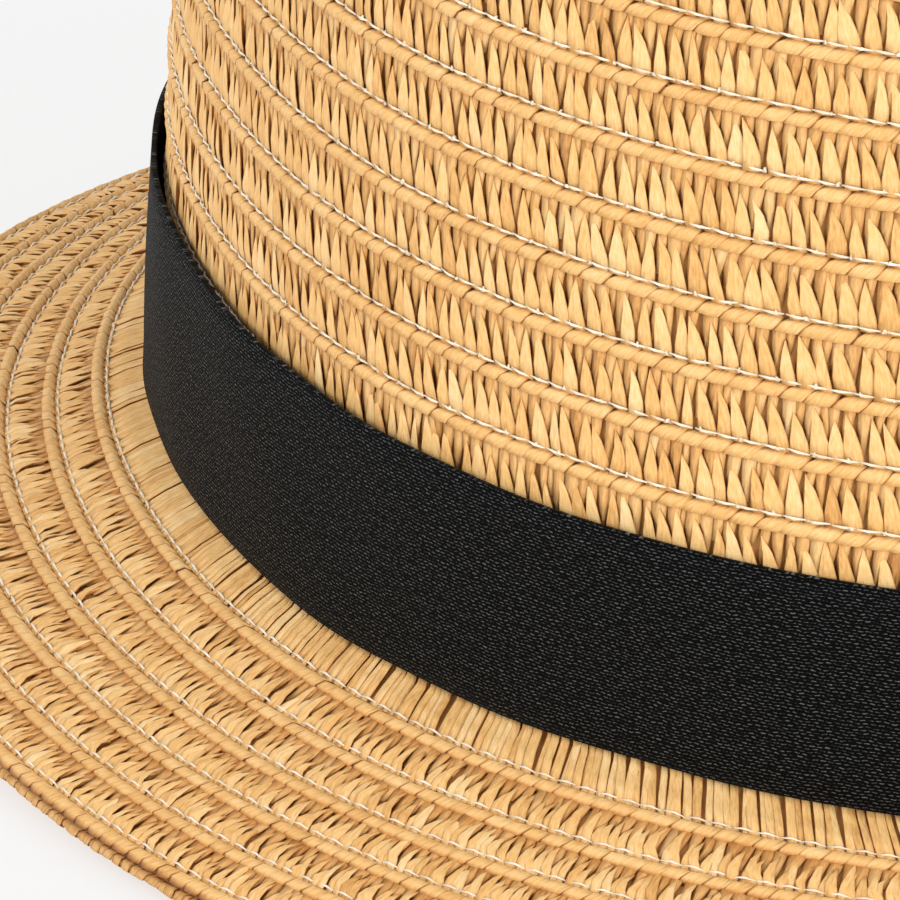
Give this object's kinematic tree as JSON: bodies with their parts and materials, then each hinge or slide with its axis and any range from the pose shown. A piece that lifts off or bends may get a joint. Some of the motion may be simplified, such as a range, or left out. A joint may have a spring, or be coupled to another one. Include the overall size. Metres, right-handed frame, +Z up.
{
  "type": "straw boater hat",
  "caption": "Straw boater hat of lapped braid rows with a flat-topped oval crown, a short sloping brim and a dark ribbon band.",
  "frame": {"origin": "centre of the footprint, on the surface that the brim's edge rests on", "axes": "+Z up through the crown, Y along the long axis of the head oval with the front at -Y, X across the head"},
  "size_m": [0.2378, 0.2748, 0.1062],
  "materials": {
    "straw_braid": "matte natural straw",
    "edge_braid": "matte natural straw",
    "ribbon": "black satin weave"
  },
  "bodies": {
    "root": {"crown_tip": "straw_braid", "crown_side": "straw_braid", "brim": "straw_braid", "brim_edge": "edge_braid", "hat_band": "ribbon"}
  },
  "joints": []
}
